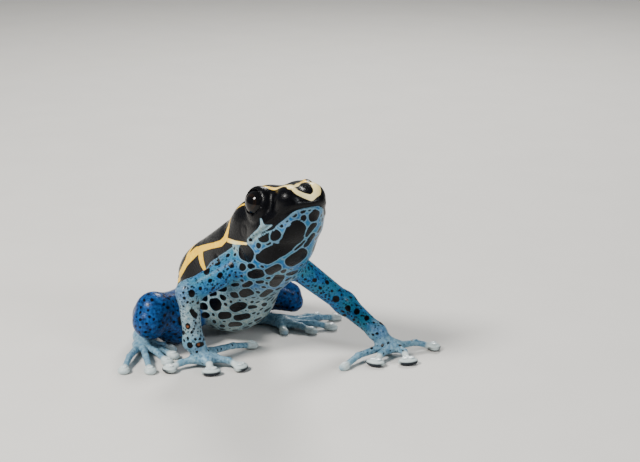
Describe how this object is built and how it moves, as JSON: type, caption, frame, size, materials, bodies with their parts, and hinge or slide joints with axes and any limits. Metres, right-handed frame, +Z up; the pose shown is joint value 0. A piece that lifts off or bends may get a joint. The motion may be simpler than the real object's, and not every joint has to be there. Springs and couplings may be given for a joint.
{
  "type": "dyeing poison dart frog",
  "caption": "Life-size still model of a blue and black poison dart frog with yellow back stripes, sitting with its head and chest raised on spread toes",
  "frame": {"origin": "on the floor, under the middle of the whole frog's bounding box", "axes": "+X the way the body faces, +Y its left side, +Z up"},
  "size_m": [0.0482, 0.0568, 0.0352],
  "materials": {
    "head": "moist black skin with a yellow brow band",
    "back": "moist skin, black above with yellow stripes, pale blue net with black spots below",
    "throat": "moist blue skin with black blotches",
    "arm": "moist pale blue skin with small black spots",
    "leg": "moist deep blue skin with small black dots",
    "foot": "moist pale blue skin, white and black toe discs",
    "eye": "wet, nearly black"
  },
  "bodies": {
    "root": {"torso": "back", "head": "head", "lower_jaw": "throat", "left_eye": "eye", "right_eye": "eye", "left_upper_arm": "arm", "left_forearm": "arm", "left_hand": "foot", "left_finger_1": "foot", "left_finger_2": "foot", "left_finger_3": "foot", "left_finger_4": "foot", "left_thigh": "leg", "left_shank": "leg", "left_tarsus": "leg", "left_foot": "foot", "left_toe_1": "foot", "left_toe_2": "foot", "left_toe_3": "foot", "left_toe_4": "foot", "left_toe_5": "foot", "right_upper_arm": "arm", "right_forearm": "arm", "right_hand": "foot", "right_finger_1": "foot", "right_finger_2": "foot", "right_finger_3": "foot", "right_finger_4": "foot", "right_thigh": "leg", "right_shank": "leg", "right_tarsus": "leg", "right_foot": "foot", "right_toe_1": "foot", "right_toe_2": "foot", "right_toe_3": "foot", "right_toe_4": "foot", "right_toe_5": "foot"}
  },
  "joints": []
}
